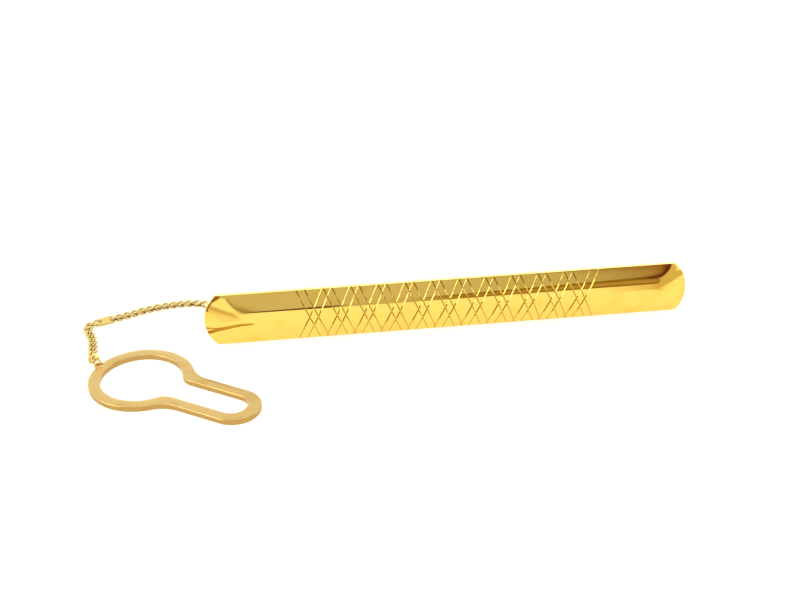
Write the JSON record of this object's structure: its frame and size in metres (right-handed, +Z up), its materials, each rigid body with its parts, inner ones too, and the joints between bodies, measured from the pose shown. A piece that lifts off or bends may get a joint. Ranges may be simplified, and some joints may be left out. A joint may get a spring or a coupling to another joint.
{
  "type": "tie clip",
  "caption": "Gold-coloured tie clip: engraved crowned bar on a sprung toothed clip, with a fine safety chain to a flat keyhole button loop.",
  "frame": {"origin": "on the table, under the middle of the part's box, with the bar standing on its long lower edge and the loop lying flat", "axes": "+X along the bar towards its free end, +Z up, +Y from the bar's crowned front to the clip behind it"},
  "size_m": [0.081, 0.0294, 0.0065],
  "materials": {
    "bar_polished": "polished gold plate over stamped brass, engraved diagonal lines",
    "back_brushed": "gold plate over rolled sheet, fine drawn lines along the bar",
    "clip_plated": "gold plate over pressed sheet, satin",
    "pin_plated": "gold plate over turned pin, peened ends",
    "spring_steel": "bright drawn spring wire",
    "ring_plated": "polished gold plate over wire",
    "chain_plated": "polished gold plate with diamond-cut flats",
    "tag_plated": "smooth gold plate over stamped tag",
    "loop_satin": "satin gold plate over stamped sheet, worn at the slot's end"
  },
  "bodies": {
    "clip": {"front_bar": "bar_polished", "back_plate": "back_brushed", "clip_base": "clip_plated", "hinge_pin": "pin_plated", "torsion_spring": "spring_steel"},
    "jaw": {"jaw": "clip_plated"},
    "clip_ring": {"clip_ring": "ring_plated"},
    "chain_link_01": {"chain_link_01": "chain_plated"},
    "chain_link_02": {"chain_link_02": "chain_plated"},
    "chain_link_03": {"chain_link_03": "chain_plated"},
    "chain_link_04": {"chain_link_04": "chain_plated"},
    "chain_link_05": {"chain_link_05": "chain_plated"},
    "chain_link_06": {"chain_link_06": "chain_plated"},
    "chain_link_07": {"chain_link_07": "chain_plated"},
    "chain_link_08": {"chain_link_08": "chain_plated"},
    "chain_link_09": {"chain_link_09": "chain_plated"},
    "chain_link_10": {"chain_link_10": "chain_plated"},
    "chain_link_11": {"chain_link_11": "chain_plated"},
    "chain_link_12": {"chain_link_12": "chain_plated"},
    "chain_link_13": {"chain_link_13": "chain_plated"},
    "chain_link_14": {"chain_link_14": "chain_plated"},
    "chain_link_15": {"chain_link_15": "chain_plated"},
    "chain_link_16": {"chain_link_16": "chain_plated"},
    "chain_link_17": {"chain_link_17": "chain_plated"},
    "chain_link_18": {"chain_link_18": "chain_plated"},
    "chain_link_19": {"chain_link_19": "chain_plated"},
    "joining_tag": {"joining_tag": "tag_plated"},
    "chain_link_20": {"chain_link_20": "chain_plated"},
    "chain_link_21": {"chain_link_21": "chain_plated"},
    "chain_link_22": {"chain_link_22": "chain_plated"},
    "chain_link_23": {"chain_link_23": "chain_plated"},
    "chain_link_24": {"chain_link_24": "chain_plated"},
    "chain_link_25": {"chain_link_25": "chain_plated"},
    "chain_link_26": {"chain_link_26": "chain_plated"},
    "chain_link_27": {"chain_link_27": "chain_plated"},
    "chain_link_28": {"chain_link_28": "chain_plated"},
    "chain_link_29": {"chain_link_29": "chain_plated"},
    "loop_ring": {"loop_ring": "ring_plated"},
    "button_loop": {"button_loop": "loop_satin"}
  },
  "joints": [
    {"name": "jaw_hinge", "type": "hinge", "parent": "clip", "child": "jaw", "pos_m": [-0.001, 0.00657, 0.00268], "axis": [0, 0.2707, 0.9627], "range_deg": [0, 12], "stiffness_Nm_per_rad": 0.05, "springref_deg": -34.38, "deforming": ["torsion_spring"]},
    {"name": "clip_ring_swing", "type": "hinge", "parent": "clip", "child": "clip_ring", "pos_m": [-0.0206, 0.00626, 0.00173], "axis": [1, 0, 0], "range_deg": [-15, 35]},
    {"name": "chain_link_01_swing", "type": "hinge", "parent": "clip_ring", "child": "chain_link_01", "pos_m": [-0.0206, 0.00751, 0.00046], "axis": [0, 0, 1], "range_deg": [-16, 16]},
    {"name": "chain_link_02_tilt", "type": "hinge", "parent": "chain_link_01", "child": "chain_link_02", "pos_m": [-0.02068, 0.00859, 0.00046], "axis": [0.9711, 0.2385, 0], "range_deg": [-30, 30]},
    {"name": "chain_link_03_swing", "type": "hinge", "parent": "chain_link_02", "child": "chain_link_03", "pos_m": [-0.02094, 0.00964, 0.00046], "axis": [0, 0, -1], "range_deg": [-24, 24]},
    {"name": "chain_link_04_tilt", "type": "hinge", "parent": "chain_link_03", "child": "chain_link_04", "pos_m": [-0.02136, 0.01063, 0.00046], "axis": [-0.8425, -0.5388, 0], "range_deg": [-30, 30]},
    {"name": "chain_link_05_swing", "type": "hinge", "parent": "chain_link_04", "child": "chain_link_05", "pos_m": [-0.02194, 0.01154, 0.00046], "axis": [0, 0, -1], "range_deg": [-24, 24]},
    {"name": "chain_link_06_tilt", "type": "hinge", "parent": "chain_link_05", "child": "chain_link_06", "pos_m": [-0.02267, 0.01234, 0.00046], "axis": [-0.6239, -0.7815, 0], "range_deg": [-30, 30]},
    {"name": "chain_link_07_swing", "type": "hinge", "parent": "chain_link_06", "child": "chain_link_07", "pos_m": [-0.02351, 0.01302, 0.00046], "axis": [0, 0, 1], "range_deg": [-24, 24]},
    {"name": "chain_link_08_tilt", "type": "hinge", "parent": "chain_link_07", "child": "chain_link_08", "pos_m": [-0.02445, 0.01354, 0.00046], "axis": [0.3387, 0.9409, 0], "range_deg": [-30, 30]},
    {"name": "chain_link_09_swing", "type": "hinge", "parent": "chain_link_08", "child": "chain_link_09", "pos_m": [-0.02547, 0.01391, 0.00046], "axis": [0, 0, 1], "range_deg": [-24, 24]},
    {"name": "chain_link_10_tilt", "type": "hinge", "parent": "chain_link_09", "child": "chain_link_10", "pos_m": [-0.02653, 0.0141, 0.00046], "axis": [0.0175, 0.9998, 0], "range_deg": [-30, 30]},
    {"name": "chain_link_11_swing", "type": "hinge", "parent": "chain_link_10", "child": "chain_link_11", "pos_m": [-0.02761, 0.01412, 0.00046], "axis": [0, 0, -1], "range_deg": [-24, 24]},
    {"name": "chain_link_12_tilt", "type": "hinge", "parent": "chain_link_11", "child": "chain_link_12", "pos_m": [-0.02869, 0.01405, 0.00046], "axis": [0.1426, -0.9898, 0], "range_deg": [-30, 30]},
    {"name": "chain_link_13_swing", "type": "hinge", "parent": "chain_link_12", "child": "chain_link_13", "pos_m": [-0.02976, 0.01389, 0.00046], "axis": [0, 0, -1], "range_deg": [-24, 24]},
    {"name": "chain_link_14_tilt", "type": "hinge", "parent": "chain_link_13", "child": "chain_link_14", "pos_m": [-0.03081, 0.01366, 0.00046], "axis": [0.2857, -0.9583, 0], "range_deg": [-30, 30]},
    {"name": "chain_link_15_swing", "type": "hinge", "parent": "chain_link_14", "child": "chain_link_15", "pos_m": [-0.03185, 0.01335, 0.00046], "axis": [0, 0, 1], "range_deg": [-16, 16]},
    {"name": "chain_link_16_tilt", "type": "hinge", "parent": "chain_link_15", "child": "chain_link_16", "pos_m": [-0.03286, 0.01297, 0.00046], "axis": [-0.4226, 0.9063, 0], "range_deg": [-30, 30]},
    {"name": "chain_link_17_swing", "type": "hinge", "parent": "chain_link_16", "child": "chain_link_17", "pos_m": [-0.03384, 0.01251, 0.00046], "axis": [0, 0, 1], "range_deg": [-16, 16]},
    {"name": "chain_link_18_tilt", "type": "hinge", "parent": "chain_link_17", "child": "chain_link_18", "pos_m": [-0.03483, 0.01209, 0.00046], "axis": [-0.3584, 0.9336, 0], "range_deg": [-30, 30]},
    {"name": "chain_link_19_swing", "type": "hinge", "parent": "chain_link_18", "child": "chain_link_19", "pos_m": [-0.03584, 0.0117, 0.00046], "axis": [0, 0, -1], "range_deg": [-16, 16]},
    {"name": "joining_tag_tilt", "type": "hinge", "parent": "chain_link_19", "child": "joining_tag", "pos_m": [-0.03686, 0.01135, 0.00046], "axis": [0.3584, -0.9336, 0], "range_deg": [-30, 30]},
    {"name": "chain_link_20_swing", "type": "hinge", "parent": "joining_tag", "child": "chain_link_20", "pos_m": [-0.03863, 0.01067, 0.00046], "axis": [0, 0, -1], "range_deg": [-12, 12]},
    {"name": "chain_link_21_tilt", "type": "hinge", "parent": "chain_link_20", "child": "chain_link_21", "pos_m": [-0.03962, 0.01022, 0.00046], "axis": [0.9171, -0.3987, 0], "range_deg": [-20, 20]},
    {"name": "chain_link_22_swing", "type": "hinge", "parent": "chain_link_21", "child": "chain_link_22", "pos_m": [-0.04005, 0.00923, 0.00046], "axis": [0, 0, 1], "range_deg": [-12, 12]},
    {"name": "chain_link_23_tilt", "type": "hinge", "parent": "chain_link_22", "child": "chain_link_23", "pos_m": [-0.0397, 0.00821, 0.00046], "axis": [-0.9367, -0.3502, 0], "range_deg": [-30, 30]},
    {"name": "chain_link_24_swing", "type": "hinge", "parent": "chain_link_23", "child": "chain_link_24", "pos_m": [-0.03933, 0.0072, 0.00046], "axis": [0, 0, 1], "range_deg": [-16, 16]},
    {"name": "chain_link_25_tilt", "type": "hinge", "parent": "chain_link_24", "child": "chain_link_25", "pos_m": [-0.03909, 0.00614, 0.00046], "axis": [-0.9936, -0.1132, 0], "range_deg": [-30, 30]},
    {"name": "chain_link_26_swing", "type": "hinge", "parent": "chain_link_25", "child": "chain_link_26", "pos_m": [-0.03897, 0.00507, 0.00046], "axis": [0, 0, -1], "range_deg": [-20, 20]},
    {"name": "chain_link_27_tilt", "type": "hinge", "parent": "chain_link_26", "child": "chain_link_27", "pos_m": [-0.0389, 0.00399, 0.00046], "axis": [0.9981, 0.061, 0], "range_deg": [-30, 30]},
    {"name": "chain_link_28_swing", "type": "hinge", "parent": "chain_link_27", "child": "chain_link_28", "pos_m": [-0.03884, 0.00291, 0.00046], "axis": [0, 0, -1], "range_deg": [-24, 24]},
    {"name": "chain_link_29_tilt", "type": "hinge", "parent": "chain_link_28", "child": "chain_link_29", "pos_m": [-0.03873, 0.00184, 0.00046], "axis": [0.9863, 0.165, 0], "range_deg": [-30, 30]},
    {"name": "loop_ring_swing", "type": "hinge", "parent": "chain_link_29", "child": "loop_ring", "pos_m": [-0.03856, 0.00081, 0.00074], "axis": [0, 0, 1], "range_deg": [-20, 20]},
    {"name": "button_loop_tilt", "type": "hinge", "parent": "loop_ring", "child": "button_loop", "pos_m": [-0.03773, -0.00025, 0.00056], "axis": [-0.788, -0.6157, 0], "range_deg": [-35, 10]}
  ]
}
